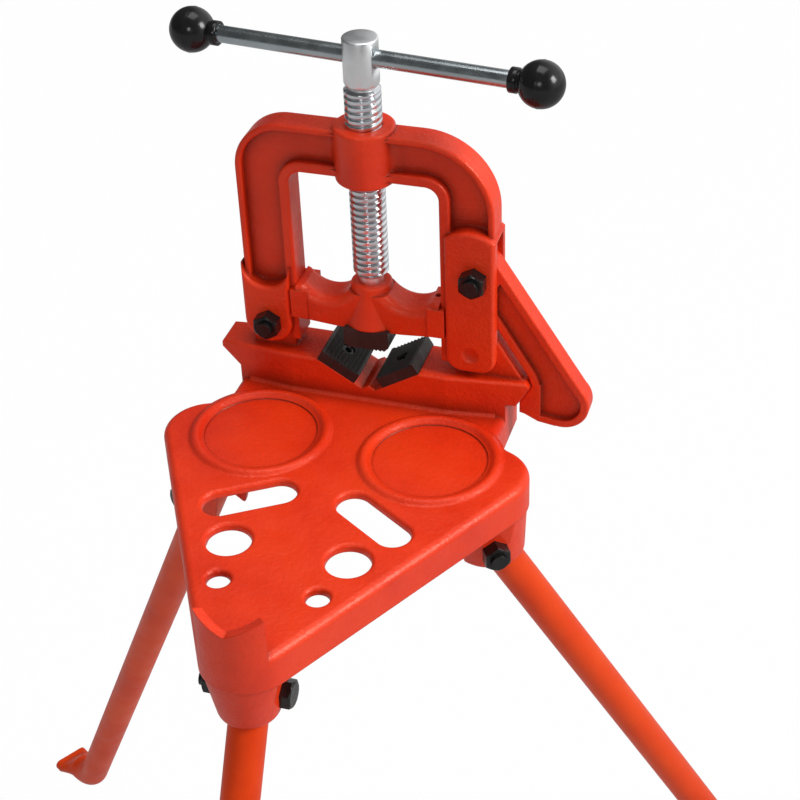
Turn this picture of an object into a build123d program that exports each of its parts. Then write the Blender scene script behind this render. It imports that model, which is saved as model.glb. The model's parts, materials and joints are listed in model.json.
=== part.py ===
from build123d import *
import os
from math import atan2, cos, hypot, radians, sin, tan

# Pipe vise stand: a cast tray on three folding pipe legs, with a yoke pipe vise at its back edge.
# Everything is modelled with z = 0 at the tray's top face, y = 0 at the two round trays, +Y to the
# vise, and moved at the end so that the origin is on the floor below the middle of the footprint.
# Sizes are millimetres and degrees.

# Running fits and gaps
fit = 0.06
slide_gap = 0.3
seat_gap = 0.02

# Tray casting
stand_height = 650.0
rim_depth = 27.0
plate_thickness = 6.0
rim_wall = 7.0
rim_round = 6.0
corner_radius = 33.0
front_pivot_y = -198.0
rear_pivot_x = 105.0
rear_pivot_y = -4.0
neck_half_width = 104.0
neck_fillet = 22.0
centre_rib = 6.0
centre_rib_depth = 16.0

# Round trays with a raised ring, slots and tool holes in the tray
dish_x = 64.7
dish_radius = 53.2
dish_crest_radius = 48.2
dish_floor_radius = 41.8
dish_crest_height = 2.7
dish_crest_half_width = 1.5
dish_crest_round = 4.0
dish_foot_round = 2.5
dish_depth = 1.0
slot_x = 45.5
slot_y = -73.0
slot_length = 68.0
slot_width = 25.0
slot_angle = 33.0
large_hole_x = 43.0
large_hole_y = -119.0
large_hole_radius = 15.8
small_hole_x = 35.0
small_hole_y = -158.0
small_hole_radius = 8.2
hole_round = 3.0

# Notched rest for the free end of the pipe, on the tray's front corner
rest_peak_height = 32.0
rest_notch_height = 21.0
rest_wall = 7.0
rest_half_angle = 47.0
rest_half_notch = 24.0

# Leg hoods under the tray
hood_step = 1.5
front_hood_depth = 66.0
front_hood_foot_radius = 20.5
front_hood_lean = 7.0
front_hood_flat = 22.5
rear_hood_depth = 70.0
rear_hood_foot_radius = 26.0
rear_hood_lean = 4.0
rear_hood_flat = 27.5
hood_round = 4.5

# Pipe legs
leg_diameter = 27.0
leg_wall = 2.6
leg_splay = 28.3
leg_fold = 34.0
leg_azimuth_rear = 32.0
leg_pivot_depth = 52.0
leg_top_length = 22.0
leg_bend_radius = 34.0
leg_toe_length = 18.0
toe_width = 36.0
toe_thickness = 12.0
toe_pad_length = 6.0
toe_edge = 5.5

# Bolts
bolt_diameter = 12.0
bolt_across_flats = 18.0
bolt_head_height = 7.5
nut_height = 10.0
bolt_stub = 3.0
hex_chamfer_slope = 1.7

# Vise base bar with its V seat
screw_y = 77.3
bar_height = 31.0
bar_depth = 40.0
bar_middle_half_length = 60.0
nose_depth = 27.0
left_nose_x = 118.0
nose_thickness = 6.0
seat_half_width = 40.0
seat_slope = 31.5
seat_bottom_half_width = 5.2

# Toothed jaws
jaw_length = 40.0
jaw_thickness = 9.5
jaw_ledge = 0.5
lower_jaw_width = 33.0
tooth_pitch = 3.2
tooth_depth = 1.3
jaw_screw_diameter = 6.0
jaw_screw_head = 10.0
jaw_screw_head_height = 5.0
jaw_screw_length = 14.0
jaw_screw_socket = 5.0
upper_jaw_width = 34.0
upper_jaw_height = 16.0
upper_jaw_bottom = 46.0
upper_jaw_chamfer = 3.5

# Yoke
window_half_width = 55.0
window_top = 182.0
limb_width = 40.0
head_height = 35.5
cheek_step = 4.4
cheek_proud = 1.4
hinge_inset = 18.3
hinge_z = 55.5
latch_inset = 13.5
latch_z = 116.0
hinge_shoulder_radius = 37.0
latch_shoulder_radius = 54.0
window_corner_radius = 10.0
flange_depth = 22.0
web_thickness = 8.0
outer_flange = 5.0
inner_flange = 8.0
cheek_depth = 32.0
hinge_cheek_shoulder = 104.0
hinge_cheek_dip = 85.0
latch_cheek_bottom = 36.0
latch_cheek_shoulder = 146.5
latch_cheek_crown = 153.0
latch_slot_top = 144.5
lug_thickness = 16.0
lug_radius = 17.0
latch_lug_top = 72.0
latch_lug_gap = 5.2
boss_radius = 22.0
boss_rise = 3.0
boss_drop = 3.0
boss_blend = 9.0
cheek_corner_radius = 12.0
dimple_radius = 6.5
dimple_depth = 2.2
dimple_z = 51.0

# Latch lever
lever_thickness = 16.0
lever_web = 7.0
lever_rim = 6.0
lever_outer_offset = 17.3
lever_inner_offset = 10.5
lever_run = 62.5
lever_end_z = 13.5
lever_end_radius = 20.5
lever_neck = 30.0
claw_run = 31.1
claw_tip_z = 11.0
claw_foot_z = 1.0
claw_foot_run = 14.0
claw_foot_drop = 6.0
claw_heel_run = 27.4
claw_heel_z = -7.0
claw_solid_run = 16.0
claw_face_thickness = 4.0
latch_gap = 0.9
latch_per_yoke = 1.0

# Crosshead
crosshead_bottom = 60.0
crosshead_end_bottom = 62.5
crosshead_end_top = 89.0
crosshead_waist = 82.5
crosshead_top = 95.0
crosshead_depth = 30.0
crosshead_round = 7.0
crosshead_boss_top_radius = 15.0
crosshead_boss_foot_radius = 21.5
guide_depth = 31.6
guide_overlap = 3.6
guide_length = 13.0
guide_drop = 3.0
jaw_seat_margin = 8.0
crosshead_end_length = 6.0
crosshead_valley_shift = 3.0
crosshead_waist_step = 3.0
crosshead_boss_round = 1.0
grease_hole_radius = 2.3
grease_hole_inset = 4.5
grease_hole_depth = 8.0

# Clamp screw and its cross handle
screw_diameter = 26.0
screw_pitch = 5.0
screw_head_diameter = 25.0
screw_head_top = 285.0
screw_head_length = 35.0
pilot_diameter = 18.0
pilot_length = 27.0
pilot_shown = 6.0
pilot_groove_radius = 7.0
pilot_groove_height = 6.4
retaining_pin_diameter = 5.0
handle_diameter = 12.0
handle_z = 271.0
handle_span = 256.0
handle_turn = -6.0
ball_diameter = 32.0
ball_bore_depth = 12.0
handle_collar_diameter = 15.0
handle_collar_length = 5.0
ball_flat = 0.8
screw_chamfer = 2.0
head_chamfer = 1.0

# Derived places
yoke_half_width = window_half_width + limb_width
yoke_top = window_top + head_height
cheek_inner = window_half_width + cheek_step
cheek_outer = yoke_half_width + cheek_proud
hinge_x = hinge_inset - yoke_half_width
latch_x = yoke_half_width - latch_inset
lever_end_x = latch_x + lever_run
claw_tip_x = latch_x + claw_run
claw_heel_x = claw_tip_x + claw_heel_run
bolt_radius = bolt_diameter / 2
leg_radius = leg_diameter / 2
bar_front = screw_y - bar_depth / 2
bar_back = screw_y + bar_depth / 2
fork_slot = lug_thickness + 2 * slide_gap
far = 400.0

# Rounded edges of the castings
cheek_round = 3.0
flange_round = 1.8
lever_round = 1.5
lug_round = 2.0
bar_round = 2.5
bar_foot_round = 3.0


def along_y(profile, depth, y=screw_y):
    """A plate of the given depth in Y, drawn in X and Z and centred on y."""
    return Pos(0, y, 0) * extrude(Plane.XZ * profile, amount=depth / 2, both=True)


def upright(profile, bottom, top):
    """A prism on a profile in X and Y, from one height to another."""
    half_height = (top - bottom) / 2
    return Pos(0, 0, bottom + half_height) * extrude(profile, amount=half_height, both=True)


def cast_plate(profile, depth, edge_round, y=screw_y):
    """A plate drawn in X and Z with its front and back outlines rounded, as a casting has."""
    plate = along_y(profile, depth, y)
    outlines = plate.edges().group_by(Axis.Y)
    return fillet(outlines[0] + outlines[-1], edge_round)


def rod(start, direction, radius, length):
    """A round bar from a start point along a direction."""
    return extrude(Plane(origin=start, z_dir=direction) * Circle(radius), amount=length)


def swung(point, opening):
    """Where a point of the latched lever goes when the yoke is opened by an angle in degrees."""
    yoke_turn = radians(opening)
    lever_turn = radians(opening * (1 + latch_per_yoke))
    arm_x, arm_z = latch_x - hinge_x, latch_z - hinge_z
    off_x, off_z = point[0] - latch_x, point[1] - latch_z
    x = hinge_x + arm_x * cos(yoke_turn) - arm_z * sin(yoke_turn)
    z = hinge_z + arm_x * sin(yoke_turn) + arm_z * cos(yoke_turn)
    x += off_x * cos(lever_turn) - off_z * sin(lever_turn)
    z += off_x * sin(lever_turn) + off_z * cos(lever_turn)
    return x, z


def claw_path(opening, clearance=0.0):
    """A point on the path of the claw's tip, moved by a clearance to the nose's side."""
    x, z = swung((claw_tip_x, claw_tip_z), opening)
    x_next, z_next = swung((claw_tip_x, claw_tip_z), opening + 0.01)
    travel = hypot(x_next - x, z_next - z)
    return x - clearance * (z_next - z) / travel, z + clearance * (x_next - x) / travel


# The latch face of the nose, and the claw under it, both follow the path of the claw's tip.
hook_openings = (0.0, 1.9, 3.8)
claw_face = [claw_path(opening) for opening in hook_openings]
nose_face = [claw_path(opening, latch_gap) for opening in hook_openings]
nose_tip_x = nose_face[-1][0]


# The three leg pivots, each with the azimuth in which its leg stands out
leg_stations = {
    "leg_front": (0.0, front_pivot_y, -90.0),
    "leg_rear_left": (-rear_pivot_x, rear_pivot_y, 180.0 - leg_azimuth_rear),
    "leg_rear_right": (rear_pivot_x, rear_pivot_y, leg_azimuth_rear),
}


# How each hood is shaped: its depth, the radius and lean of its foot, and the height of its bolt flats
front_hood = (front_hood_depth, front_hood_foot_radius, front_hood_lean, front_hood_flat)
rear_hood = (rear_hood_depth, rear_hood_foot_radius, rear_hood_lean, rear_hood_flat)
hood_shapes = {"leg_front": front_hood, "leg_rear_left": rear_hood, "leg_rear_right": rear_hood}


def at_leg(name):
    """The frame of one leg: +X outward, +Y along its bolt, z = 0 at the tray's top face."""
    x, y, azimuth = leg_stations[name]
    return Location((x, y, 0), (0, 0, azimuth))


# Tray casting
def tray_outline():
    corners = [Pos(x, y) * Circle(corner_radius) for x, y, _ in leg_stations.values()]
    triangle = make_hull([edge for corner in corners for edge in corner.edges()])
    neck_length = bar_back - rear_pivot_y
    neck = Pos(0, rear_pivot_y + neck_length / 2) * Rectangle(2 * neck_half_width, neck_length)
    outline = triangle + neck
    return offset(offset(outline, neck_fillet), -neck_fillet)


def leg_slot():
    """The room in which a leg swings from its open to its folded place, in the leg's frame."""
    half = leg_radius + slide_gap
    blades = []
    for angle in (leg_splay, leg_splay - leg_fold):
        blade = Pos(0, -far / 2) * Rectangle(2 * half, far)
        blades.append(Rot(0, 0, angle) * blade)
    sweep_area = make_hull([edge for blade in blades for edge in blade.edges()])
    head_room = Circle(hypot(leg_top_length, leg_radius) + 1.5)
    profile = Pos(0, -leg_pivot_depth) * (sweep_area + head_room)
    under_tray = Pos(0, -plate_thickness - far / 2) * Rectangle(2 * far, far)
    return along_y(profile & under_tray, 2 * half, 0)


def hood(name):
    """The tapered socket round a leg's top, leaning outward with the leg, with flats for its bolt."""
    depth, foot_radius, lean, flat = hood_shapes[name]
    under_rim = Pos(0, 0, -rim_depth) * Circle(corner_radius - hood_step)
    foot = Pos(lean, 0, -depth) * Circle(foot_radius)
    body = loft([under_rim.face(), foot.face()])
    body = fillet(body.edges().group_by(Axis.Z)[0], hood_round)
    for side in (-1, 1):
        pad_cut = Box(4 * corner_radius, corner_radius, depth)
        body -= Pos(0, side * (flat + corner_radius / 2), -rim_depth - hood_step - depth / 2) * pad_cut
    return body + upright(Circle(corner_radius), -rim_depth, -plate_thickness)


def tool_holes():
    """Everything cut down through the tray: slots and round holes."""
    cuts = Part()
    slot_face = SlotOverall(slot_length, slot_width)
    for side in (-1, 1):
        holes = [
            (Pos(side * slot_x, slot_y) * Rot(0, 0, -side * slot_angle), slot_face),
            (Pos(side * large_hole_x, large_hole_y), Circle(large_hole_radius)),
            (Pos(side * small_hole_x, small_hole_y), Circle(small_hole_radius)),
        ]
        for place, face in holes:
            cuts += place * upright(face, -far / 2, far / 2)
    return cuts


def dish_ring():
    """The rounded ring that stands up round each round tray."""
    inner = dish_floor_radius - dish_foot_round
    outer = dish_radius + dish_foot_round / 2
    section = Polygon(
        (inner, -plate_thickness / 2), (outer, -plate_thickness / 2), (outer, 0), (dish_radius, 0),
        (dish_crest_radius + dish_crest_half_width, dish_crest_height),
        (dish_crest_radius - dish_crest_half_width, dish_crest_height),
        (dish_floor_radius, -dish_depth), (inner, -dish_depth),
        align=None,
    )
    section = fillet(section.vertices().group_by(Axis.Y)[-1], dish_crest_round)
    feet = [
        corner
        for corner in section.vertices()
        if (corner.X, corner.Y) in ((dish_radius, 0), (dish_floor_radius, -dish_depth))
    ]
    section = fillet(feet, dish_foot_round)
    return revolve(Plane.XZ * section, Axis.Z)


def pipe_rest():
    """The upright wall round the front corner, with a wide V for the pipe to lie in."""
    ring = Circle(corner_radius) - Circle(corner_radius - rest_wall)
    reach = 2 * corner_radius
    edge_x, edge_y = reach * sin(radians(rest_half_angle)), -reach * cos(radians(rest_half_angle))
    sector = Polygon((0, 0), (edge_x, edge_y), (0, -reach), (-edge_x, edge_y), align=None)
    wall = Pos(0, front_pivot_y) * upright(ring & sector, -plate_thickness, rest_peak_height)
    rise = (rest_peak_height - rest_notch_height) / rest_half_notch
    notch = Polygon(
        (0, rest_notch_height),
        (far, rest_notch_height + rise * far),
        (-far, rest_notch_height + rise * far),
        align=None,
    )
    return wall - along_y(notch, far, front_pivot_y)


def bar_profile():
    """The vise base seen from the front: nose, V seat for the jaws, and the latch nose."""
    seat_drop = (seat_half_width - seat_bottom_half_width) * tan(radians(seat_slope))
    seat_bottom = bar_height - seat_drop
    left_rise = left_nose_x - neck_half_width
    face_start, face_middle, face_end = nose_face
    with BuildSketch() as profile:
        with BuildLine():
            Polyline(
                (neck_half_width, face_start[1] - latch_gap),
                (neck_half_width, -plate_thickness),
                (-neck_half_width, -plate_thickness),
                (-neck_half_width, bar_height - nose_thickness - left_rise),
                (-left_nose_x, bar_height - nose_thickness),
                (-left_nose_x, bar_height),
                (-seat_half_width, bar_height),
                (-seat_bottom_half_width, seat_bottom),
                (0, seat_bottom + 3),
                (seat_bottom_half_width, seat_bottom),
                (seat_half_width, bar_height),
                (nose_tip_x - nose_thickness / 2, bar_height),
                face_end,
            )
            ThreePointArc(face_end, face_middle, face_start)
            Line(face_start, (neck_half_width, face_start[1] - latch_gap))
        make_face()
    return profile.sketch


def bar_plan():
    """The vise base seen from above: deep round the jaws, narrower at both noses."""
    taper = (bar_depth - nose_depth) / 2 / (left_nose_x - bar_middle_half_length)
    reach = left_nose_x + 10
    end_half = bar_depth / 2 - taper * (reach - bar_middle_half_length)
    back = [(-reach, end_half), (-bar_middle_half_length, bar_depth / 2)]
    back += [(bar_middle_half_length, bar_depth / 2), (reach, end_half)]
    front = [(x, -y) for x, y in reversed(back)]
    return Pos(0, screw_y) * Polygon(*(back + front), align=None)


def vise_bar():
    bar = along_y(bar_profile(), 2 * bar_depth) & upright(bar_plan(), -far, far)
    top_edges = [
        edge
        for edge in bar.edges()
        if edge.center().Z > bar_height - 0.01 and abs(edge.center().X) > seat_half_width + 1
    ]
    return fillet(top_edges, bar_round)


def bar_cove():
    """The concave foot along the front of the vise base, where it grows out of the tray."""
    taper = (bar_depth - nose_depth) / 2 / (left_nose_x - bar_middle_half_length)
    end = neck_half_width - rim_round - bar_foot_round / 2
    end_y = bar_front + taper * (end - bar_middle_half_length)
    path = Polyline(
        (-end, end_y, 0), (-bar_middle_half_length, bar_front, 0), (bar_middle_half_length, bar_front, 0),
        (end, end_y, 0),
    )
    sunk = 1.0
    section = Polygon(
        (-sunk, -sunk), (bar_foot_round, -sunk), (bar_foot_round, 0), (0, bar_foot_round),
        (-sunk, bar_foot_round),
        align=None,
    )
    section -= Pos(bar_foot_round, bar_foot_round) * Circle(bar_foot_round)
    start = Plane(origin=path @ 0, x_dir=(path % 0).cross(Vector(0, 0, 1)), z_dir=-(path % 0))
    return sweep(start * section, path=path, transition=Transition.RIGHT)


def hinge_lug():
    """The ear that the yoke's hinge fork straddles."""
    block_height = hinge_z - bar_height + plate_thickness
    block = Pos(0, -block_height / 2) * Rectangle(2 * lug_radius, block_height)
    ear = Pos(hinge_x, hinge_z) * (Circle(lug_radius) + block)
    return cast_plate(ear, lug_thickness, lug_round) - rod((hinge_x, 0, hinge_z), (0, 1, 0), bolt_radius + fit, far)


def latch_lug():
    """The ear between the latch-side cheeks, its flank beside the lever."""
    slope = atan2(latch_z - lever_end_z, lever_end_x - latch_x)
    flank = (lever_inner_offset + latch_lug_gap) / sin(slope)
    inner = latch_x - lug_radius
    low = bar_height - 2
    low_x = latch_x + (latch_z - low) / tan(slope) - flank
    top_x = latch_x + (latch_z - latch_lug_top) / tan(slope) - flank
    ear = Polygon((inner, low), (low_x, low), (top_x, latch_lug_top), (inner, latch_lug_top), align=None)
    return cast_plate(ear, lug_thickness, lug_round)


def lower_jaw_place(side):
    """The frame of a lower jaw: origin at mid width on the seat, +Z out of the seat's face."""
    slope = radians(seat_slope)
    outer = seat_half_width - jaw_ledge
    middle = outer - (lower_jaw_width / 2) * cos(slope)
    rise = bar_height - (seat_half_width - middle) * tan(slope)
    return Location((side * middle, screw_y, rise), (0, -side * seat_slope, 0))


def tray_casting():
    outline = tray_outline()
    body = upright(outline, -rim_depth, 0)
    top_edges = body.faces().sort_by(Axis.Z)[-1].edges()
    rounded = top_edges.filter_by(lambda edge: edge.center().Y < bar_back - 1)
    body = fillet(rounded, rim_round)
    body -= upright(offset(outline, -rim_wall), -rim_depth, -plate_thickness)
    body -= tool_holes()
    hole_edges = [edge for wire in body.faces().sort_by(Axis.Z)[-1].inner_wires() for edge in wire.edges()]
    body = fillet(hole_edges, hole_round)
    for side in (-1, 1):
        dish = Pos(side * dish_x, 0)
        body -= dish * upright(Circle(dish_floor_radius), -dish_depth, far)
        body += dish * dish_ring()
    rib_length = dish_radius - front_pivot_y
    rib = Box(centre_rib, rib_length, centre_rib_depth)
    rib_z = -plate_thickness - centre_rib_depth / 2 + 1
    body += Pos(0, front_pivot_y + rib_length / 2, rib_z) * rib
    for name in leg_stations:
        body += at_leg(name) * hood(name)
    for name in leg_stations:
        body -= at_leg(name) * leg_slot()
        bore_start = (0, -far / 2, -leg_pivot_depth)
        body -= at_leg(name) * rod(bore_start, (0, 1, 0), bolt_radius + fit, far)
    body += pipe_rest()
    body += vise_bar()
    body += bar_cove()
    body += hinge_lug()
    body += latch_lug()
    for side in (-1, 1):
        screw_hole = Cylinder(jaw_screw_diameter / 2 + seat_gap, 2 * jaw_screw_length)
        body -= lower_jaw_place(side) * screw_hole
    return body


# Jaws
def saw_teeth(width, height):
    """The profile of a jaw block, toothed along its upper edge, centred in X."""
    count = int((width - tooth_pitch) / tooth_pitch)
    margin = (width - count * tooth_pitch) / 2
    points = [(-width / 2, 0), (width / 2, 0), (width / 2, height)]
    start = width / 2 - margin
    for tooth in range(count):
        points.append((start - tooth * tooth_pitch, height))
        points.append((start - (tooth + 0.75) * tooth_pitch, height - tooth_depth))
    points.append((-width / 2 + margin, height))
    points.append((-width / 2, height))
    return Polygon(*points, align=None)


def screw_pocket(depth_to_head, thickness):
    """The stepped hole for a socket screw: z = 0 at the jaw's back, head room towards +Z."""
    shank = Cylinder(jaw_screw_diameter / 2 + seat_gap, 4 * thickness)
    head = Cylinder(jaw_screw_head / 2 + seat_gap, thickness)
    return shank + Pos(0, 0, depth_to_head + thickness / 2) * head


def socket_screw():
    """A socket cap screw, its head's underside at z = 0 and its shank towards -Z."""
    head = Pos(0, 0, jaw_screw_head_height / 2) * Cylinder(jaw_screw_head / 2, jaw_screw_head_height)
    shank = Pos(0, 0, -jaw_screw_length / 2) * Cylinder(jaw_screw_diameter / 2, jaw_screw_length)
    hexagon = RegularPolygon(jaw_screw_socket / 2, 6, major_radius=False)
    socket = extrude(Pos(0, 0, jaw_screw_head_height / 2) * hexagon, amount=jaw_screw_head_height)
    return head + shank - socket


jaw_head_seat = jaw_thickness - tooth_depth - jaw_screw_head_height - 0.5


def lower_jaw(side):
    block = along_y(saw_teeth(lower_jaw_width, jaw_thickness), jaw_length, 0)
    block -= screw_pocket(jaw_head_seat, jaw_thickness)
    if side > 0:
        block = block.mirror(Plane.YZ)
    return lower_jaw_place(side) * block


def lower_jaw_screws():
    lift = Pos(0, 0, jaw_head_seat)
    return Compound(children=[lower_jaw_place(side) * lift * socket_screw() for side in (-1, 1)])


upper_jaw_top = upper_jaw_bottom + upper_jaw_height
upper_jaw_back = Location((0, screw_y, upper_jaw_top), (180, 0, 0))
upper_head_seat = upper_jaw_height - tooth_depth - jaw_screw_head_height - 0.5


def upper_jaw():
    profile = saw_teeth(upper_jaw_width, upper_jaw_height)
    corner_cut = Polygon((0, 0), (-upper_jaw_chamfer, 0), (0, -upper_jaw_chamfer), align=None)
    profile -= Pos(upper_jaw_width / 2, upper_jaw_height) * corner_cut
    other_cut = Polygon((0, 0), (upper_jaw_chamfer, 0), (0, -upper_jaw_chamfer), align=None)
    profile -= Pos(-upper_jaw_width / 2, upper_jaw_height) * other_cut
    block = along_y(profile, jaw_length, 0)
    return upper_jaw_back * (block - screw_pocket(upper_head_seat, upper_jaw_height))


def upper_jaw_screw():
    return upper_jaw_back * Pos(0, 0, upper_head_seat) * socket_screw()


# Yoke
def hinge_cheek():
    """The round-ended fork cheek at the hinge, with the end of the recess dipping into it."""
    half = (cheek_outer - cheek_inner) / 2
    middle = -(cheek_inner + half)
    low = Pos(middle, hinge_z) * Circle(half)
    height = hinge_cheek_shoulder - hinge_z
    body = Pos(middle, hinge_z + height / 2) * Rectangle(2 * half, height)
    depth = hinge_cheek_shoulder - hinge_cheek_dip
    dip_radius = (half**2 + depth**2) / (2 * depth)
    dip = Pos(middle, hinge_cheek_dip + dip_radius) * Circle(dip_radius)
    return low + (body - dip)


def latch_cheek():
    """The long cheek at the latch, its top edge arched over the recess."""
    body = Polygon(
        (cheek_inner, latch_cheek_bottom), (cheek_outer, latch_cheek_bottom),
        (cheek_outer, latch_cheek_shoulder), (cheek_inner, latch_cheek_shoulder),
        align=None,
    )
    low_corners = body.vertices().group_by(Axis.Y)[0]
    body = fillet(low_corners, cheek_corner_radius)
    half = (cheek_outer - cheek_inner) / 2
    rise = latch_cheek_crown - latch_cheek_shoulder
    crown_radius = (half**2 + rise**2) / (2 * rise)
    crown = Pos((cheek_inner + cheek_outer) / 2, latch_cheek_crown - crown_radius) * Circle(crown_radius)
    above = Pos(0, latch_cheek_shoulder + far / 2) * Rectangle(4 * far, far)
    return body + (crown & above)


def boss_blends():
    """The concave corners that run the screw's boss into the web and both flanges."""
    zones = [
        (web_thickness, window_top + inner_flange / 2, yoke_top - outer_flange / 2),
        (flange_depth, window_top + flange_round, window_top + inner_flange - flange_round),
        (flange_depth, yoke_top - outer_flange + flange_round, yoke_top - flange_round),
    ]
    blends = Part()
    for depth, bottom, top in zones:
        band = Rectangle(4 * boss_radius, depth)
        plan = offset(offset(Circle(boss_radius) + band, boss_blend), -boss_blend)
        blends += Pos(0, screw_y) * upright(plan - band, bottom, top)
    return blends


def cheek_dimple():
    """The shallow round mark in the front of the latch cheek."""
    ball_radius = (dimple_radius**2 + dimple_depth**2) / (2 * dimple_depth)
    front = screw_y - cheek_depth / 2
    return Pos((cheek_inner + cheek_outer) / 2, front + dimple_depth - ball_radius, dimple_z) * Sphere(ball_radius)


def yoke():
    left_foot, right_foot = hinge_z, latch_cheek_bottom + 14
    outer = Polygon(
        (-yoke_half_width, left_foot), (yoke_half_width, left_foot), (yoke_half_width, yoke_top),
        (-yoke_half_width, yoke_top),
        align=None,
    )
    top_corners = outer.vertices().group_by(Axis.Y)[-1].sort_by(Axis.X)
    outer = fillet(top_corners[0], hinge_shoulder_radius)
    top_corner = outer.vertices().group_by(Axis.Y)[-1].sort_by(Axis.X)[-1]
    outer = fillet(top_corner, latch_shoulder_radius)
    window = Polygon(
        (-window_half_width, 0), (window_half_width, 0), (window_half_width, window_top),
        (-window_half_width, window_top),
        align=None,
    )
    window = fillet(window.vertices().group_by(Axis.Y)[-1], window_corner_radius)
    rim = outer - offset(outer, -outer_flange)
    sill = (offset(window, inner_flange) & outer) - window
    body = along_y(outer - window, web_thickness)
    body += cast_plate(rim - window, flange_depth, flange_round)
    body += cast_plate(sill, flange_depth, flange_round)
    guide_height = hinge_z - latch_cheek_bottom - 4
    guide_width = cheek_inner + 1 - window_half_width
    for side in (-1, 1):
        guide = Box(guide_width, flange_depth, guide_height + 8)
        guide_x = side * (window_half_width + guide_width / 2)
        body += Pos(guide_x, screw_y, hinge_z + 4 - guide_height / 2) * guide
    body += cast_plate(hinge_cheek(), cheek_depth, cheek_round)
    body += cast_plate(latch_cheek(), cheek_depth, cheek_round)
    boss_height = yoke_top + boss_rise - window_top + boss_drop
    boss = Cylinder(boss_radius, boss_height)
    boss = fillet(boss.edges().filter_by(GeomType.CIRCLE), 2.0)
    body += Pos(0, screw_y, window_top - boss_drop + boss_height / 2) * boss
    body += boss_blends()
    body -= cheek_dimple()
    body -= rod((0, screw_y, 0), (0, 0, 1), screw_diameter / 2 + fit, far)
    hinge_slot_top = hinge_z + lug_radius + 0.8
    hinge_slot_inner = hinge_x + lug_radius + 0.8
    hinge_slot = Pos((hinge_slot_inner - far / 2), hinge_slot_top - far / 2) * Rectangle(far, far)
    body -= along_y(hinge_slot, fork_slot)
    latch_slot_inner = latch_x - lever_outer_offset - 2.0
    latch_slot = Pos(latch_slot_inner + far / 2, latch_slot_top - far / 2) * Rectangle(far, far)
    body -= along_y(latch_slot, fork_slot)
    for x, z in ((hinge_x, hinge_z), (latch_x, latch_z)):
        body -= rod((x, 0, z), (0, 1, 0), bolt_radius + fit, far)
    return body


# Latch lever
def lever_outline():
    reach_x, reach_z = lever_end_x - latch_x, lever_end_z - latch_z
    reach = hypot(reach_x, reach_z)
    along = (reach_x / reach, reach_z / reach)
    outward = (-along[1], along[0])

    def beside(distance, offset_out):
        x = latch_x + along[0] * distance + outward[0] * offset_out
        z = latch_z + along[1] * distance + outward[1] * offset_out
        return x, z

    head = Pos(latch_x, latch_z) * Circle(lever_outer_offset)
    end = Pos(lever_end_x, lever_end_z) * Circle(lever_end_radius)
    face_bottom, face_middle, face_top = claw_face
    with BuildSketch() as arm:
        with BuildLine():
            Polyline(
                face_top,
                beside(reach - lever_neck, -lever_inner_offset),
                beside(0, -lever_inner_offset),
                beside(0, lever_outer_offset),
                beside(reach, lever_end_radius - 0.3),
                (lever_end_x, lever_end_z),
                (claw_heel_x, claw_heel_z),
                (claw_tip_x + claw_foot_run, claw_foot_z - claw_foot_drop),
                (claw_tip_x + claw_face_thickness, claw_foot_z - 1),
                (claw_tip_x, claw_foot_z),
                face_bottom,
            )
            ThreePointArc(face_bottom, face_middle, face_top)
        make_face()
    return head + end + arm.sketch


def latch_lever():
    outline = lever_outline()
    body = cast_plate(outline, lever_thickness, lever_round)
    boss = Pos(latch_x, latch_z) * Circle(lever_outer_offset)
    claw_x = claw_tip_x + claw_solid_run
    claw_zone = Pos(claw_x - far / 2, lever_end_z - far / 2) * Rectangle(far, far + lever_neck)
    recess = offset(outline, -lever_rim) - boss - claw_zone
    recess_depth = (lever_thickness - lever_web) / 2
    for side in (-1, 1):
        place = screw_y + side * (lever_web / 2 + recess_depth)
        body -= along_y(recess, 2 * recess_depth, place)
    return body - rod((latch_x, 0, latch_z), (0, 1, 0), bolt_radius + fit, far)


# Crosshead that the screw drives up and down in the yoke
guide_reach = window_half_width + guide_overlap


def crosshead_boss():
    """The screw's boss: round, its flank sweeping out to the jaw seat."""
    rim_radius = crosshead_boss_top_radius - crosshead_boss_round
    top_point = (crosshead_boss_top_radius, crosshead_top - crosshead_boss_round)
    foot_point = (crosshead_boss_foot_radius, crosshead_bottom)
    waist_radius = crosshead_boss_top_radius + (crosshead_boss_foot_radius - crosshead_boss_top_radius) / 4
    with BuildSketch() as half_view:
        with BuildLine():
            Polyline((0, crosshead_bottom), (0, crosshead_top), (rim_radius, crosshead_top), top_point)
            ThreePointArc(top_point, (waist_radius, crosshead_waist - crosshead_waist_step), foot_point)
            Line(foot_point, (0, crosshead_bottom))
        make_face()
    return Pos(0, screw_y, 0) * revolve(Plane.XZ * half_view.sketch, Axis.Z)


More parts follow.
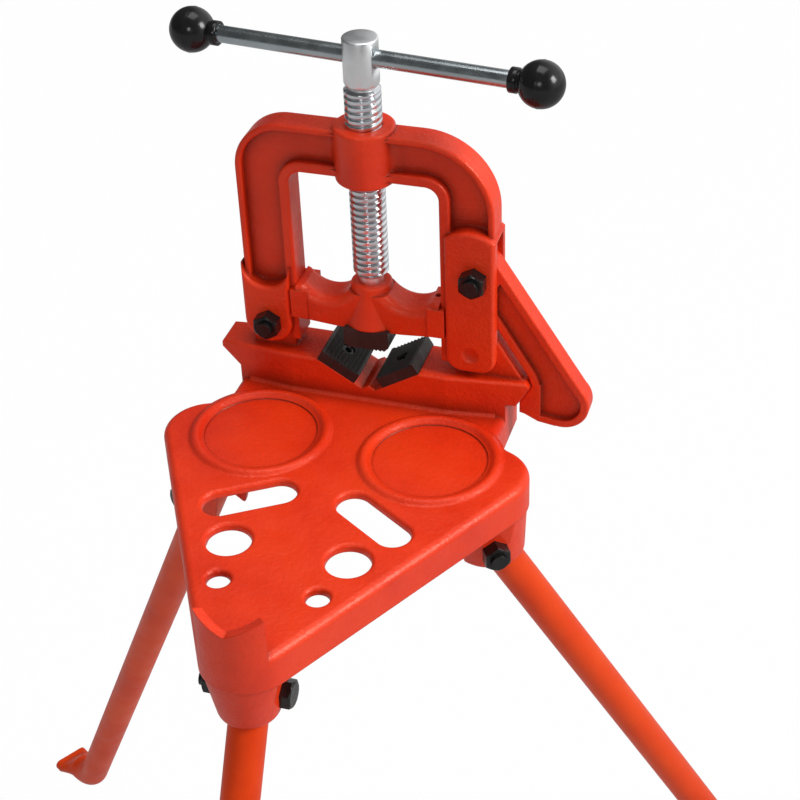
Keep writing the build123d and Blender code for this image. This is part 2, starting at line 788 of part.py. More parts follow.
def crosshead():
    ends = window_half_width - slide_gap
    low, high, waist = crosshead_end_bottom, crosshead_end_top, crosshead_waist
    middle = upper_jaw_width / 2 + jaw_seat_margin
    valley = (crosshead_boss_top_radius + ends) / 2 + crosshead_valley_shift
    shoulder = ends - crosshead_end_length
    with BuildSketch() as front_view:
        with BuildLine():
            Polyline((-shoulder, high), (-ends, high), (-ends, low), (-middle, crosshead_bottom))
            Line((-middle, crosshead_bottom), (middle, crosshead_bottom))
            Polyline((middle, crosshead_bottom), (ends, low), (ends, high), (shoulder, high))
            ThreePointArc((shoulder, high), (valley, waist), (crosshead_boss_top_radius, high))
            Line((crosshead_boss_top_radius, high), (-crosshead_boss_top_radius, high))
            ThreePointArc((-crosshead_boss_top_radius, high), (-valley, waist), (-shoulder, high))
        make_face()
    body = along_y(front_view.sketch, crosshead_depth)
    valleys = body.faces().filter_by(GeomType.CYLINDER)
    body = fillet([edge for face in valleys for edge in face.edges().filter_by(GeomType.CIRCLE)], crosshead_round)
    body += crosshead_boss()
    guide_height = crosshead_end_top - guide_drop - crosshead_end_bottom
    for side in (-1, 1):
        guide = Box(guide_length, guide_depth, guide_height)
        guide_x = side * (guide_reach - guide_length / 2)
        guide_z = crosshead_end_bottom + guide_height / 2
        body += Pos(guide_x, screw_y, guide_z) * guide
        groove_length = 2 * guide_overlap
        groove = Box(groove_length, flange_depth + 2 * slide_gap, far)
        body -= Pos(side * (ends + groove_length / 2), screw_y, guide_z) * groove
    grease_hole = Cylinder(grease_hole_radius, 2 * grease_hole_depth)
    body -= Pos(ends - grease_hole_inset, screw_y, crosshead_end_top) * grease_hole
    body -= Pos(0, screw_y, upper_jaw_top - far / 2) * Box(upper_jaw_width + 2 * seat_gap, 2 * jaw_length, far)
    pilot_bottom = crosshead_top - pilot_length - slide_gap
    body -= rod((0, screw_y, pilot_bottom), (0, 0, 1), pilot_diameter / 2 + fit, far)
    body -= rod((0, screw_y, 0), (0, 0, 1), jaw_screw_diameter / 2 + seat_gap, pilot_bottom - 0.5)
    for x, z in retaining_pin_axes:
        pin_radius = retaining_pin_diameter / 2 + seat_gap
        body -= rod((x, retaining_pin_start - seat_gap, z), (0, 1, 0), pin_radius, far)
    return body


# The pins are driven in from the back, beside the pilot's groove, and stop inside the front wall.
retaining_pin_z = crosshead_top - pilot_length + pilot_diameter / 2
retaining_pin_x = pilot_groove_radius + retaining_pin_diameter / 2 + 0.2
retaining_pin_axes = [(side * retaining_pin_x, retaining_pin_z) for side in (-1, 1)]
retaining_pin_start = screw_y - pilot_diameter / 2
retaining_pin_end = screw_y + crosshead_depth / 2


def retaining_pins():
    radius = retaining_pin_diameter / 2
    length = retaining_pin_end - retaining_pin_start
    pins = [rod((x, retaining_pin_start, z), (0, 1, 0), radius, length) for x, z in retaining_pin_axes]
    return Compound(children=pins)


# Clamp screw, its handle bar and balls
handle_direction = (cos(radians(handle_turn)), sin(radians(handle_turn)), 0)


def clamp_screw():
    shoulder = crosshead_top + pilot_shown
    tip = crosshead_top - pilot_length
    head_bottom = screw_head_top - screw_head_length
    with BuildSketch() as half_view:
        with BuildLine():
            Polyline(
                (0, tip),
                (pilot_diameter / 2 - head_chamfer, tip),
                (pilot_diameter / 2, tip + head_chamfer),
                (pilot_diameter / 2, retaining_pin_z - pilot_groove_height / 2),
                (pilot_groove_radius, retaining_pin_z - pilot_groove_height / 2),
                (pilot_groove_radius, retaining_pin_z + pilot_groove_height / 2),
                (pilot_diameter / 2, retaining_pin_z + pilot_groove_height / 2),
                (pilot_diameter / 2, shoulder),
                (screw_diameter / 2 - screw_chamfer, shoulder),
                (screw_diameter / 2, shoulder + screw_chamfer),
                (screw_diameter / 2, head_bottom - screw_chamfer),
                (screw_diameter / 2 - screw_chamfer, head_bottom),
                (screw_head_diameter / 2 - head_chamfer, head_bottom),
                (screw_head_diameter / 2, head_bottom + head_chamfer),
                (screw_head_diameter / 2, screw_head_top - head_chamfer),
                (screw_head_diameter / 2 - head_chamfer, screw_head_top),
                (0, screw_head_top),
                close=True,
            )
        make_face()
    body = Pos(0, screw_y, 0) * revolve(Plane.XZ * half_view.sketch, Axis.Z)
    start = (-far * handle_direction[0], screw_y - far * handle_direction[1], handle_z)
    return body - rod(start, handle_direction, handle_diameter / 2 + fit, 2 * far)


def on_handle(distance):
    """The frame on the handle bar's axis at a distance from the screw, +Z along the bar."""
    x = distance * handle_direction[0]
    y = screw_y + distance * handle_direction[1]
    return Plane(origin=(x, y, handle_z), z_dir=handle_direction).location


def handle_bar():
    half_length = handle_span / 2 - ball_diameter / 2 + ball_bore_depth
    bar = on_handle(0) * Cylinder(handle_diameter / 2, 2 * half_length)
    for side in (-1, 1):
        centre = side * (handle_span / 2 - ball_diameter / 2 - handle_collar_length / 2)
        bar += on_handle(centre) * Cylinder(handle_collar_diameter / 2, handle_collar_length)
    return bar


def handle_ball(side):
    ball = Sphere(ball_diameter / 2)
    inner = -side * ball_diameter / 2
    ball -= Pos(0, 0, inner) * Box(ball_diameter, ball_diameter, 2 * ball_flat)
    bore_depth = ball_bore_depth + slide_gap
    ball -= Pos(0, 0, inner + side * bore_depth / 2) * Cylinder(handle_diameter / 2 + seat_gap, bore_depth)
    return on_handle(side * handle_span / 2) * ball


# Bolts and nuts
def hexagon_prism(height):
    """A hexagon bar on z = 0, its corners chamfered at the far end."""
    prism = extrude(RegularPolygon(bolt_across_flats / 2, 6, major_radius=False), amount=height)
    spread = hex_chamfer_slope * height
    end_radius = bolt_across_flats / 2 - 0.6
    return prism & Pos(0, 0, height / 2) * Cone(end_radius + spread, end_radius, height)


def hex_bolt(grip):
    """A hex bolt along +Z, its head's underside at z = 0 and its nut at z = grip."""
    length = grip + nut_height + bolt_stub
    head = Rot(180, 0, 0) * hexagon_prism(bolt_head_height)
    return head + Pos(0, 0, length / 2) * Cylinder(bolt_radius, length)


def hex_nut(grip):
    nut = hexagon_prism(nut_height) - Cylinder(bolt_radius + seat_gap, 4 * nut_height)
    return Pos(0, 0, grip) * nut


def across_yoke(x, z):
    """A bolt's frame at the yoke: head at the back, nut at the front."""
    return Plane(origin=(x, screw_y + cheek_depth / 2, z), x_dir=(0, 0, 1), z_dir=(0, -1, 0)).location


def across_hood(name):
    """A leg bolt's frame: head on the hood's +Y flat, nut on the other."""
    flat = hood_shapes[name][3]
    frame = Plane(origin=(0, flat, -leg_pivot_depth), x_dir=(0, 0, 1), z_dir=(0, -1, 0))
    return at_leg(name) * frame.location


def leg_bolts():
    return Compound(children=[across_hood(name) * hex_bolt(2 * hood_shapes[name][3]) for name in leg_stations])


def leg_nuts():
    return Compound(children=[across_hood(name) * hex_nut(2 * hood_shapes[name][3]) for name in leg_stations])


# Pipe legs
def leg():
    """One leg in its own frame: straight pipe, a bend outward and a pressed flat toe."""
    splay = radians(leg_splay)
    floor = -stand_height
    bend_start_z = floor + leg_radius + leg_bend_radius * (1 - sin(splay))
    length = (-leg_pivot_depth - bend_start_z) / cos(splay)
    bend_start_x = length * sin(splay)
    bend_end_x = bend_start_x + leg_bend_radius * cos(splay)
    top = (-leg_top_length * sin(splay), leg_top_length * cos(splay) - leg_pivot_depth)
    down = (sin(splay), 0, -cos(splay))
    with BuildLine(Plane.XZ) as path:
        Line(top, (bend_start_x, bend_start_z))
        JernArc((bend_start_x, bend_start_z), (sin(splay), -cos(splay)), leg_bend_radius, 90 - leg_splay)
    section = Plane(origin=(top[0], 0, top[1]), z_dir=down)
    tube = sweep(section * Circle(leg_radius), path=path.line)
    tube -= sweep(section * Circle(leg_radius - leg_wall), path=path.line)
    round_end = Plane(origin=(bend_end_x, 0, floor + leg_radius), x_dir=(0, 1, 0), z_dir=(1, 0, 0))
    toe_start = bend_end_x + leg_toe_length
    flat_end = Plane(origin=(toe_start, 0, floor + toe_thickness / 2), x_dir=(0, 1, 0), z_dir=(1, 0, 0))
    flat_face = flat_end * RectangleRounded(toe_width, toe_thickness, toe_edge)
    tube += loft([(round_end * Circle(leg_radius)).face(), flat_face.face()])
    tube += extrude(flat_face, amount=toe_pad_length)
    return tube - rod((0, -far / 2, -leg_pivot_depth), (0, 1, 0), bolt_radius + fit, far)


def build():
    pieces = {
        "tray_casting": tray_casting(),
        "lower_jaw_left": lower_jaw(-1),
        "lower_jaw_right": lower_jaw(1),
        "lower_jaw_screws": lower_jaw_screws(),
        "hinge_bolt": across_yoke(hinge_x, hinge_z) * hex_bolt(cheek_depth),
        "hinge_nut": across_yoke(hinge_x, hinge_z) * hex_nut(cheek_depth),
        "yoke": yoke(),
        "latch_bolt": across_yoke(latch_x, latch_z) * hex_bolt(cheek_depth),
        "latch_nut": across_yoke(latch_x, latch_z) * hex_nut(cheek_depth),
        "latch_lever": latch_lever(),
        "crosshead": crosshead(),
        "upper_jaw": upper_jaw(),
        "upper_jaw_screw": upper_jaw_screw(),
        "screw_retaining_pins": retaining_pins(),
        "clamp_screw": clamp_screw(),
        "handle_bar": handle_bar(),
        "handle_ball_left": handle_ball(-1),
        "handle_ball_right": handle_ball(1),
        "leg_bolts": leg_bolts(),
        "leg_nuts": leg_nuts(),
    }
    pipe_leg = leg()
    for name in leg_stations:
        pieces[name] = at_leg(name) * pipe_leg
    return pieces


pieces = build()
boxes = [piece.bounding_box() for piece in pieces.values()]
origin = Vector(
    (min(box.min.X for box in boxes) + max(box.max.X for box in boxes)) / 2,
    (min(box.min.Y for box in boxes) + max(box.max.Y for box in boxes)) / 2,
    -stand_height,
)

os.makedirs("parts", exist_ok=True)
for name, piece in pieces.items():
    placed = Pos(-origin.X, -origin.Y, -origin.Z) * piece
    export_step(placed, f"parts/{name}.step")
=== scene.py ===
import json
import math

import bmesh
import bpy
from mathutils import Matrix, Vector


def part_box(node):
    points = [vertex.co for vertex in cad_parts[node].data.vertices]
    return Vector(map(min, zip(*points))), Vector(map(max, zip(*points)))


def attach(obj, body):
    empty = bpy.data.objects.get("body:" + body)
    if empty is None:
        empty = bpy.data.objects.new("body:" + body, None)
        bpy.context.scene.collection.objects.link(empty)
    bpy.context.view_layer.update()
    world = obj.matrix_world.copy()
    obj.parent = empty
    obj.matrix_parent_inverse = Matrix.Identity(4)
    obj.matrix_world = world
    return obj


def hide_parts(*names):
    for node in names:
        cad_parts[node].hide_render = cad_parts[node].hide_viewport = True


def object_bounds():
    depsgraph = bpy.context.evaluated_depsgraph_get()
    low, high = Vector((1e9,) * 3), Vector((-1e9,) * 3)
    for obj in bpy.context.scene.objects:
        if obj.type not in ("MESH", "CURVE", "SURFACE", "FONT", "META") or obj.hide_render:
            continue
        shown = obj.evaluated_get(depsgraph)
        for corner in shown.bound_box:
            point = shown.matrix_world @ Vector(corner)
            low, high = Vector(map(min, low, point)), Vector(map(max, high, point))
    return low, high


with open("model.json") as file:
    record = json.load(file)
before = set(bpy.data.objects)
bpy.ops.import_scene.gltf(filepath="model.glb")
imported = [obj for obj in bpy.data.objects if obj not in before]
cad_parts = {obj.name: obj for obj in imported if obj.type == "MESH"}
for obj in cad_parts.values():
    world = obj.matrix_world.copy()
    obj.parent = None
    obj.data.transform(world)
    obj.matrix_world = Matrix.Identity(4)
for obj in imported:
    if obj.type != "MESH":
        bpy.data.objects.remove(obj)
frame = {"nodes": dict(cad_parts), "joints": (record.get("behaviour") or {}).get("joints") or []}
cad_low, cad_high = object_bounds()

# Pipe vise stand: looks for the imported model. Lengths are metres, in the model's own frame.
nodes = frame["nodes"]
joints = {joint["name"]: joint for joint in frame["joints"]}
screw_low, screw_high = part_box("clamp_screw")
screw_axis = (screw_low + screw_high) / 2
bar_direction = Vector(joints["handle_slide"]["axis"])


# Camera at the photograph's angle
def add_camera():
    azimuth, elevation, roll = (math.radians(angle) for angle in (18.7, 36.13, -2.38))
    place = (0.3694, -0.7838, 1.4399)
    sensor_width, focal_length = 36.0, 80.56
    back = Vector((
        math.sin(azimuth) * math.cos(elevation),
        -math.cos(azimuth) * math.cos(elevation),
        math.sin(elevation),
    ))
    right = Vector((math.cos(azimuth), math.sin(azimuth), 0))
    up = back.cross(right)
    rolled_right = right * math.cos(roll) + up * math.sin(roll)
    rolled_up = up * math.cos(roll) - right * math.sin(roll)
    data = bpy.data.cameras.new("photo_camera")
    data.sensor_width = sensor_width
    data.lens = focal_length
    camera = bpy.data.objects.new("photo_camera", data)
    bpy.context.scene.collection.objects.link(camera)
    turn = Matrix((rolled_right, rolled_up, back)).transposed().to_4x4()
    camera.matrix_world = Matrix.Translation(place) @ turn
    bpy.context.scene.camera = camera


# Node helpers
def link(tree, source, target):
    tree.links.new(source, target)


def any_ray(tree, *kinds):
    """1 for a ray of one of the named kinds, and 0 for any other."""
    path = tree.nodes.new("ShaderNodeLightPath")
    found = path.outputs[kinds[0]]
    for kind in kinds[1:]:
        either = tree.nodes.new("ShaderNodeMath")
        either.operation = "MAXIMUM"
        link(tree, found, either.inputs[0])
        link(tree, path.outputs[kind], either.inputs[1])
        found = either.outputs[0]
    return found


def mix_shader(tree, share, first, second):
    node = tree.nodes.new("ShaderNodeMixShader")
    for source, target in zip((share, first, second), node.inputs):
        link(tree, source, target)
    return node.outputs[0]


def object_point(tree):
    return tree.nodes.new("ShaderNodeTexCoord").outputs["Object"]


def noise(tree, scale, detail=3.0, roughness=0.55, point=None, stretch=None):
    """A noise value over the object's own coordinates, optionally stretched along its axes."""
    node = tree.nodes.new("ShaderNodeTexNoise")
    node.inputs["Scale"].default_value = scale
    node.inputs["Detail"].default_value = detail
    node.inputs["Roughness"].default_value = roughness
    point = point or object_point(tree)
    if stretch:
        mapping = tree.nodes.new("ShaderNodeMapping")
        mapping.inputs["Scale"].default_value = stretch
        link(tree, point, mapping.inputs["Vector"])
        point = mapping.outputs["Vector"]
    link(tree, point, node.inputs["Vector"])
    return node.outputs["Fac"]


def ramp(tree, value, stops):
    node = tree.nodes.new("ShaderNodeValToRGB")
    elements = node.color_ramp.elements
    while len(elements) < len(stops):
        elements.new(0.5)
    for element, (position, colour) in zip(elements, stops):
        element.position = position
        element.color = (*colour, 1)
    link(tree, value, node.inputs["Fac"])
    return node.outputs["Color"]


def spread(tree, value, low, high, from_low=0.3, from_high=0.7):
    """The value's range from from_low to from_high, spread over low to high."""
    node = tree.nodes.new("ShaderNodeMapRange")
    node.inputs["From Min"].default_value = from_low
    node.inputs["From Max"].default_value = from_high
    node.inputs["To Min"].default_value = low
    node.inputs["To Max"].default_value = high
    link(tree, value, node.inputs["Value"])
    return node.outputs["Result"]


def bump(tree, height, distance, normal=None):
    node = tree.nodes.new("ShaderNodeBump")
    node.inputs["Distance"].default_value = distance
    node.inputs["Strength"].default_value = 1.0
    link(tree, height, node.inputs["Height"])
    if normal is not None:
        link(tree, normal, node.inputs["Normal"])
    return node.outputs["Normal"]


def mix_colour(tree, share, first, second):
    """The first colour, with a share of the second one."""
    node = tree.nodes.new("ShaderNodeMix")
    node.data_type = "RGBA"
    link(tree, share, node.inputs[0])
    link(tree, first, node.inputs[6])
    node.inputs[7].default_value = (*second, 1)
    return node.outputs[2]


def vector_math(tree, operation, source, value=None):
    node = tree.nodes.new("ShaderNodeVectorMath")
    node.operation = operation
    link(tree, source, node.inputs[0])
    if value is not None:
        node.inputs[1].default_value = value
    return node


def empty_tree(owner):
    owner.use_nodes = True
    owner.node_tree.nodes.clear()
    return owner.node_tree


def new_material(name):
    material = bpy.data.materials.new(name)
    tree = empty_tree(material)
    output = tree.nodes.new("ShaderNodeOutputMaterial")
    shader = tree.nodes.new("ShaderNodeBsdfPrincipled")
    link(tree, shader.outputs[0], output.inputs["Surface"])
    return material, tree, shader


def eased_normal(tree, radius):
    node = tree.nodes.new("ShaderNodeBevel")
    node.samples = 4
    node.inputs["Radius"].default_value = radius
    return node.outputs["Normal"]


# Light, floor and white surroundings
def area_light(name, place, size, power, colour=(1, 1, 1)):
    aim = Vector((0, 0.1, 0.7))
    data = bpy.data.lights.new(name, "AREA")
    data.shape = "RECTANGLE"
    data.size, data.size_y = size
    data.energy = power
    data.color = colour
    lamp = bpy.data.objects.new(name, data)
    bpy.context.scene.collection.objects.link(lamp)
    lamp.location = place
    lamp.rotation_mode = "QUATERNION"
    lamp.rotation_quaternion = (aim - Vector(place)).to_track_quat("-Z", "Y")


def add_lamps():
    area_light("key_light", (2.1, 0.1, 2.1), (0.8, 0.9), 49, (1.0, 0.985, 0.96))
    area_light("fill_light", (0.2, -2.2, 2.1), (0.6, 0.6), 9, (0.97, 0.985, 1.0))
    area_light("top_light", (0.1, 0.5, 2.9), (1.2, 1.2), 15.5)


def room_brightness(tree):
    """How bright a reflection finds the studio: white behind and on the right, dim elsewhere."""
    white_side = (0.8, 0.6, -0.1)
    dimmest = 0.09
    turns_white, all_white = 0.08, 0.75
    direction = tree.nodes.new("ShaderNodeTexCoord").outputs["Generated"]
    facing = vector_math(tree, "DOT_PRODUCT", direction, white_side)
    share = tree.nodes.new("ShaderNodeMapRange")
    share.interpolation_type = "SMOOTHSTEP"
    share.inputs["From Min"].default_value = turns_white
    share.inputs["From Max"].default_value = all_white
    share.inputs["To Min"].default_value = dimmest
    share.inputs["To Max"].default_value = 1.0
    link(tree, facing.outputs["Value"], share.inputs["Value"])
    return share.outputs["Result"]


def add_world():
    """Dim light for the object, the studio for reflections and plain white for the camera."""
    dim_strength = 0.35
    world = bpy.data.worlds.new("studio")
    bpy.context.scene.world = world
    tree = empty_tree(world)
    output = tree.nodes.new("ShaderNodeOutputWorld")
    shades = []
    for strength in (dim_strength, 1.0, 1.0):
        shade = tree.nodes.new("ShaderNodeBackground")
        shade.inputs["Color"].default_value = (1, 1, 1, 1)
        shade.inputs["Strength"].default_value = strength
        shades.append(shade)
    dim, room, white = shades
    link(tree, room_brightness(tree), room.inputs["Strength"])
    reflected = mix_shader(tree, any_ray(tree, "Is Glossy Ray"), dim.outputs[0], room.outputs[0])
    straight = any_ray(tree, "Is Camera Ray", "Is Transmission Ray")
    seen = mix_shader(tree, straight, reflected, white.outputs[0])
    link(tree, seen, output.inputs["Surface"])


def add_floor():
    """A pale floor that takes the shadow. The camera sees white through it, and metal sees it grey."""
    paleness, reflected_brightness, white_share = 0.7, 0.5, 0.99
    reach, clearance = 12.0, 0.0005
    material = bpy.data.materials.new("pale_floor")
    tree = empty_tree(material)
    output = tree.nodes.new("ShaderNodeOutputMaterial")
    diffuse = tree.nodes.new("ShaderNodeBsdfDiffuse")
    diffuse.inputs["Color"].default_value = (paleness, paleness, paleness, 1)
    glow = tree.nodes.new("ShaderNodeEmission")
    glow.inputs["Color"].default_value = (1, 1, 1, 1)
    glow.inputs["Strength"].default_value = reflected_brightness
    clear = tree.nodes.new("ShaderNodeBsdfTransparent")
    seen = mix_shader(tree, any_ray(tree, "Is Glossy Ray"), clear.outputs[0], glow.outputs[0])
    share = tree.nodes.new("ShaderNodeMath")
    share.operation = "MULTIPLY"
    share.inputs[1].default_value = white_share
    link(tree, any_ray(tree, "Is Camera Ray", "Is Glossy Ray", "Is Transmission Ray"), share.inputs[0])
    mixed = mix_shader(tree, share.outputs[0], diffuse.outputs[0], seen)
    link(tree, mixed, output.inputs["Surface"])
    mesh = bpy.data.meshes.new("floor")
    corners = [(-reach, -reach, 0), (reach, -reach, 0), (reach, reach, 0), (-reach, reach, 0)]
    mesh.from_pydata(corners, [], [(0, 1, 2, 3)])
    floor = bpy.data.objects.new("floor", mesh)
    floor.location.z = cad_low.z - clearance
    bpy.context.scene.collection.objects.link(floor)
    mesh.materials.append(material)


# Materials
def enamel(name, main, deep, light, edge, wave, pebble, gloss):
    """Stove enamel with painted shade darkening its corners and recesses, and the casting's waves and
    pebbles under it.
    """
    patch_scale, fleck_scale, sheen_scale = 14.0, 420.0, 55.0
    wave_scale, pebble_scales = 45.0, ((240.0, 3.0), (430.0, 2.0))
    # most_shade, shade, corner_reach, tight_corner and open_face set the painted shade in the corners
    pebble_share, most_fleck, most_shade, shade = 0.55, 0.16, 0.90, 0.36
    corner_reach, tight_corner, open_face = 0.016, 0.48, 0.96
    smooth, rough = 0.32, 0.45
    highlight = (1.0, 0.70, 0.58, 1)
    material, tree, shader = new_material(name)
    tone = ramp(tree, noise(tree, patch_scale, 4.0), [(0.32, deep), (0.5, main), (0.7, light)])
    fleck = spread(tree, noise(tree, fleck_scale, 2.0), 0.0, most_fleck, 0.5, 0.8)
    tone = mix_colour(tree, fleck, tone, deep)
    # Painted shade: an ambient-occlusion mask darkens the colour in corners and recesses, where shade
    # falls
    painted_corner_shade = tree.nodes.new("ShaderNodeAmbientOcclusion")
    painted_corner_shade.samples = 6
    painted_corner_shade.only_local = True
    painted_corner_shade.inputs["Distance"].default_value = corner_reach
    # depth is the share of painted shade mixed into the colour
    depth = spread(tree, painted_corner_shade.outputs["AO"], most_shade, 0.0, tight_corner, open_face)
    tone = mix_colour(tree, depth, tone, tuple(shade * c for c in deep))
    link(tree, tone, shader.inputs["Base Color"])
    link(tree, spread(tree, noise(tree, sheen_scale), smooth, rough), shader.inputs["Roughness"])
    shader.inputs["Specular IOR Level"].default_value = gloss
    shader.inputs["Specular Tint"].default_value = highlight
    normal = eased_normal(tree, edge)
    normal = bump(tree, noise(tree, wave_scale, 2.0), wave, normal)
    for scale, detail in pebble_scales:
        normal = bump(tree, noise(tree, scale, detail), pebble_share * pebble, normal)
    link(tree, normal, shader.inputs["Normal"])
    return material


def black_oxide(name, dark, middle, light, smooth, rough):
    """Oiled black steel, with a browner tone in places."""
    tone_scale, oil_scale, grain_scale = 60.0, 180.0, 900.0
    metal_share, edge, grain = 0.25, 0.0006, 0.00006
    material, tree, shader = new_material(name)
    tone = ramp(tree, noise(tree, tone_scale, 4.0), [(0.3, dark), (0.55, middle), (0.8, light)])
    link(tree, tone, shader.inputs["Base Color"])
    shader.inputs["Metallic"].default_value = metal_share
    link(tree, spread(tree, noise(tree, oil_scale), smooth, rough), shader.inputs["Roughness"])
    normal = bump(tree, noise(tree, grain_scale), grain, eased_normal(tree, edge))
    link(tree, normal, shader.inputs["Normal"])
    return material


def ring_lines(tree, pitch):
    """The fine rings that a lathe leaves on a face, from the distance to the screw's axis."""
    centred = vector_math(tree, "SUBTRACT", object_point(tree), (screw_axis.x, screw_axis.y, 0))
    flat = vector_math(tree, "MULTIPLY", centred.outputs[0], (1, 1, 0))
    length = vector_math(tree, "LENGTH", flat.outputs[0])
    along = tree.nodes.new("ShaderNodeCombineXYZ")
    link(tree, length.outputs["Value"], along.inputs["X"])
    return noise(tree, 1.0 / pitch, 2.0, 0.6, along.outputs[0])


def zinc(name, dark, light, smooth, rough, lines=0.0):
    """Plated steel, with a lathe's lines round the screw where they are asked for."""
    tone_scale, polish_scale, grain_scale = 34.0, 130.0, 650.0
    edge, grain = 0.0005, 0.00003
    side_lines, ring_pitch, ring_depth = (60.0, 60.0, 2600.0), 0.0011, 3
    material, tree, shader = new_material(name)
    tone = ramp(tree, noise(tree, tone_scale, 4.0), [(0.3, dark), (0.75, light)])
    link(tree, tone, shader.inputs["Base Color"])
    shader.inputs["Metallic"].default_value = 1.0
    link(tree, spread(tree, noise(tree, polish_scale, 4.0), smooth, rough), shader.inputs["Roughness"])
    normal = bump(tree, noise(tree, grain_scale), grain, eased_normal(tree, edge))
    if lines:
        normal = bump(tree, noise(tree, 1.0, 2.0, 0.6, stretch=side_lines), lines, normal)
        normal = bump(tree, ring_lines(tree, ring_pitch), ring_depth * lines, normal)
    link(tree, normal, shader.inputs["Normal"])
    return material


def drawn_bar():
    """The handle's bright drawn steel, its fine lines along the bar."""
    tone_scale, polish_scale = 26.0, 90.0
    dark, light = (0.40, 0.45, 0.47), (0.52, 0.57, 0.59)
    smooth, rough = 0.20, 0.34
    line_stretch, line_depth = (30.0, 1500.0, 1500.0), 0.00004
    material, tree, shader = new_material("drawn_bar")
    tone = ramp(tree, noise(tree, tone_scale, 4.0), [(0.3, dark), (0.75, light)])
    link(tree, tone, shader.inputs["Base Color"])
    shader.inputs["Metallic"].default_value = 1.0
    link(tree, spread(tree, noise(tree, polish_scale, 4.0), smooth, rough), shader.inputs["Roughness"])
    turned_point = tree.nodes.new("ShaderNodeMapping")
    bar_angle = math.atan2(bar_direction.y, bar_direction.x)
    turned_point.inputs["Rotation"].default_value = (0, 0, -bar_angle)
    link(tree, object_point(tree), turned_point.inputs["Vector"])
    lines = noise(tree, 1.0, 3.0, 0.6, turned_point.outputs["Vector"], line_stretch)
    link(tree, bump(tree, lines, line_depth), shader.inputs["Normal"])
    return material


def ball_plastic():
    """Black moulded plastic, polished, with faint moulding marks."""
    tone_scale, polish_scale, mark_scale = 90.0, 150.0, 120.0
    dark, light = (0.008, 0.008, 0.009), (0.016, 0.015, 0.016)
    smooth, rough, gloss, mark_depth = 0.14, 0.26, 0.3, 0.00012
    material, tree, shader = new_material("moulded_black")
    tone = ramp(tree, noise(tree, tone_scale, 4.0), [(0.35, dark), (0.75, light)])
    link(tree, tone, shader.inputs["Base Color"])
    link(tree, spread(tree, noise(tree, polish_scale, 4.0), smooth, rough), shader.inputs["Roughness"])
    shader.inputs["Specular IOR Level"].default_value = gloss
    link(tree, bump(tree, noise(tree, mark_scale, 2.0), mark_depth), shader.inputs["Normal"])
    return material


# One material for each slot of the record, and one of their own for the jaws
materials = {
    "enamel_casting": enamel(
        "enamel_casting_paint",
        main=(0.78, 0.034, 0.004),
        deep=(0.68, 0.024, 0.003),
        light=(0.82, 0.042, 0.005),
        edge=0.0016,
        wave=0.0005,
        pebble=0.0006,
        gloss=0.62,
    ),
    "enamel_leg": enamel(
        "enamel_leg_paint",
        main=(0.74, 0.053, 0.004),
        deep=(0.66, 0.040, 0.003),
        light=(0.78, 0.066, 0.006),
        edge=0.001,
        wave=0.0003,
        pebble=0.00012,
        gloss=0.25,
    ),
    "black_oxide": black_oxide(
        "oiled_black_bolts",
        dark=(0.006, 0.006, 0.007),
        middle=(0.010, 0.009, 0.009),
        light=(0.020, 0.017, 0.016),
        smooth=0.16,
        rough=0.34,
    ),
    "jaw_steel": black_oxide(
        "oiled_black_jaws",
        dark=(0.018, 0.015, 0.014),
        middle=(0.028, 0.024, 0.022),
        light=(0.050, 0.043, 0.040),
        smooth=0.34,
        rough=0.52,
    ),
    "zinc_screw": zinc(
        "bright_zinc",
        dark=(0.62, 0.64, 0.67),
        light=(0.86, 0.88, 0.91),
        smooth=0.14,
        rough=0.28,
    ),
    "zinc_head": zinc(
        "turned_zinc",
        dark=(0.80, 0.81, 0.82),
        light=(0.93, 0.94, 0.95),
        smooth=0.30,
        rough=0.42,
        lines=0.00005,
    ),
    "pin_steel": zinc(
        "pin_steel",
        dark=(0.30, 0.30, 0.31),
        light=(0.42, 0.42, 0.43),
        smooth=0.28,
        rough=0.4,
    ),
    "ball_plastic": ball_plastic(),
    "steel_bar": drawn_bar(),
}


# Mesh helpers
def full_turn(count):
    return [2 * math.pi * step / count for step in range(count)]


def join_rings(mesh, rings):
    for low, high in zip(rings, rings[1:]):
        for step in range(len(low)):
            after = (step + 1) % len(low)
            mesh.faces.new((low[step], low[after], high[after], high[step]))


def turned(profile, count):
    """A closed turned surface round +Z, from (radius, height) pairs that start and end on the axis."""
    mesh = bmesh.new()
    rings = []
    for radius, height in profile:
        turns = full_turn(count) if radius > 0 else [0.0]
        places = [(radius * math.cos(turn), radius * math.sin(turn), height) for turn in turns]
        rings.append([mesh.verts.new(place) for place in places])
    for first, second in zip(rings, rings[1:]):
        for step in range(count):
            after = (step + 1) % count
            corners = [first[step % len(first)], second[step % len(second)]]
            corners += [second[after % len(second)], first[after % len(first)]]
            mesh.faces.new(tuple(dict.fromkeys(corners)))
    bmesh.ops.recalc_face_normals(mesh, faces=mesh.faces[:])
    return mesh


def finish_mesh(mesh, name, place, sharp_from=50.0):
    data = bpy.data.meshes.new(name)
    mesh.normal_update()
    mesh.to_mesh(data)
    mesh.free()
    piece = bpy.data.objects.new(name, data)
    bpy.context.scene.collection.objects.link(piece)
    data.transform(place)
    data.shade_smooth()
    data.set_sharp_from_angle(angle=math.radians(sharp_from))
    return piece


def rod_cutter(name, radius, length, segments, place):
    mesh = bmesh.new()
    sizes = {"radius1": radius, "radius2": radius, "depth": length}
    bmesh.ops.create_cone(mesh, segments=segments, cap_ends=True, **sizes)
    return finish_mesh(mesh, name, place)


def cut_away(piece, cutter):
    cut = piece.modifiers.new("cut", "BOOLEAN")
    cut.object = cutter
    cut.solver = "EXACT"
    graph = bpy.context.evaluated_depsgraph_get()
    mesh = bpy.data.meshes.new_from_object(piece.evaluated_get(graph))
    piece.modifiers.clear()
    piece.data = mesh
    bpy.data.objects.remove(cutter)


def give_materials(piece, *names):
    piece.data.materials.clear()
    for name in names:
        piece.data.materials.append(materials[name])


